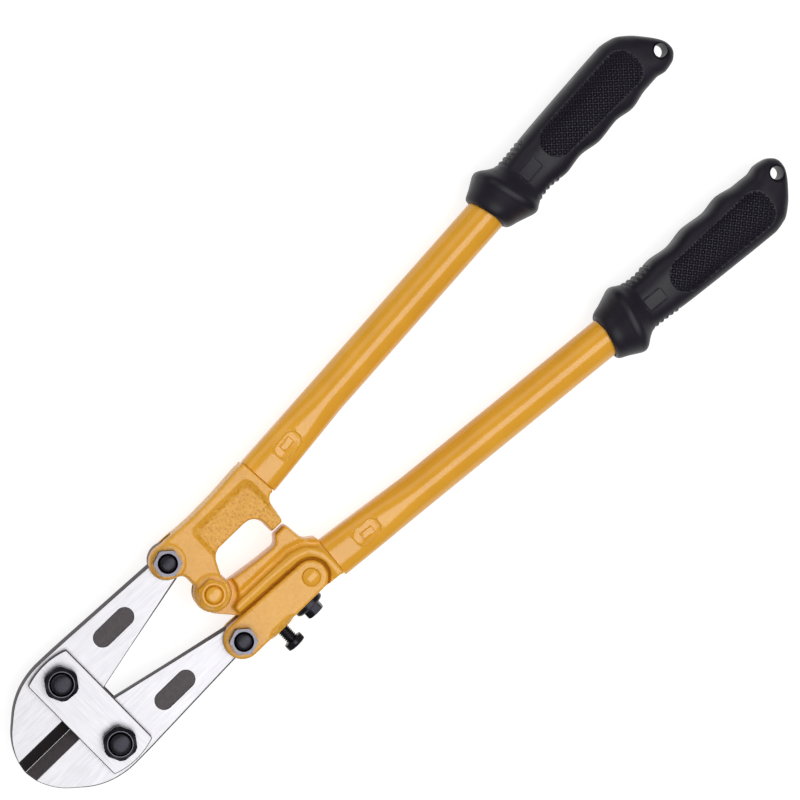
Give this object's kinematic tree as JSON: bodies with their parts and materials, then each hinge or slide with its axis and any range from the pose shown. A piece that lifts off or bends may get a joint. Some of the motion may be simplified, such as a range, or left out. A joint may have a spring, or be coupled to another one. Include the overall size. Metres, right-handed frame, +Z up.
{
  "type": "bolt cutters",
  "caption": "Long-handled centre-cut bolt cutters with forged blades, side plates, compound castings, tube handles, moulded grips and an adjusting link.",
  "frame": {"origin": "middle of the tool's footprint on the bench, with the tool lying on its side and the jaws closed", "axes": "+Z up through the tool's thickness, +Y from the jaws towards the grips, +X towards the handle with the adjusting link"},
  "size_m": [0.1226, 0.4586, 0.0352],
  "materials": {
    "yellow_paint": "gloss",
    "ground_steel": "ground",
    "black_oxide": "black oxide",
    "grip_rubber": "satin"
  },
  "bodies": {
    "head": {"front_side_plate": "ground_steel", "rear_side_plate": "ground_steel", "plate_bolts": "black_oxide", "plate_nuts": "black_oxide"},
    "left_blade": {"left_blade": "ground_steel"},
    "right_blade": {"right_blade": "ground_steel"},
    "left_handle": {"left_handle_casting": "yellow_paint", "left_blade_bolt": "black_oxide", "left_blade_nut": "black_oxide", "centre_pivot_bolt": "yellow_paint", "centre_pivot_nut": "yellow_paint", "left_tube": "yellow_paint", "left_grip": "grip_rubber"},
    "adjusting_link": {"adjusting_link": "yellow_paint", "link_rivet": "yellow_paint", "right_blade_bolt": "black_oxide", "right_blade_nut": "black_oxide"},
    "right_handle": {"right_handle_casting": "yellow_paint", "right_tube": "yellow_paint", "right_grip": "grip_rubber"},
    "adjusting_screw": {"adjusting_screw": "black_oxide"},
    "lock_screw": {"lock_screw": "black_oxide"}
  },
  "joints": [
    {"name": "left_blade_turn", "type": "hinge", "parent": "head", "child": "left_blade", "pos_m": [-0.02309, -0.18768, 0.0171], "axis": [0, 0, 1], "range_deg": [-6.55, 0]},
    {"name": "right_blade_turn", "type": "hinge", "parent": "head", "child": "right_blade", "pos_m": [0.01591, -0.18768, 0.0171], "axis": [0, 0, 1], "range_deg": [0, 6.55]},
    {"name": "left_handle_swing", "type": "hinge", "parent": "left_blade", "child": "left_handle", "pos_m": [-0.02914, -0.11388, 0.0171], "axis": [0, 0, 1], "range_deg": [0, 46.5]},
    {"name": "link_swing", "type": "hinge", "parent": "right_blade", "child": "adjusting_link", "pos_m": [0.02196, -0.11388, 0.0171], "axis": [0, 0, 1], "range_deg": [-46.5, 0]},
    {"name": "link_adjust", "type": "hinge", "parent": "adjusting_link", "child": "right_handle", "pos_m": [0.02311, -0.07038, 0.0171], "axis": [0, 0, 1], "range_deg": [-0.8, 0.8]},
    {"name": "adjusting_screw_turn", "type": "hinge", "parent": "adjusting_link", "child": "adjusting_screw", "pos_m": [0.03921, -0.09698, 0.0171], "axis": [1, 0, 0], "range_deg": [-180, 180]},
    {"name": "lock_screw_turn", "type": "hinge", "parent": "adjusting_link", "child": "lock_screw", "pos_m": [0.03341, -0.08008, 0.0171], "axis": [1, 0, 0], "range_deg": [0, 90]}
  ],
  "couplings": [
    {"joint": "left_blade_turn", "follows": "left_handle_swing", "ratio": -0.13981},
    {"joint": "right_blade_turn", "follows": "left_handle_swing", "ratio": 0.13981},
    {"joint": "link_swing", "follows": "left_handle_swing", "ratio": -1}
  ]
}
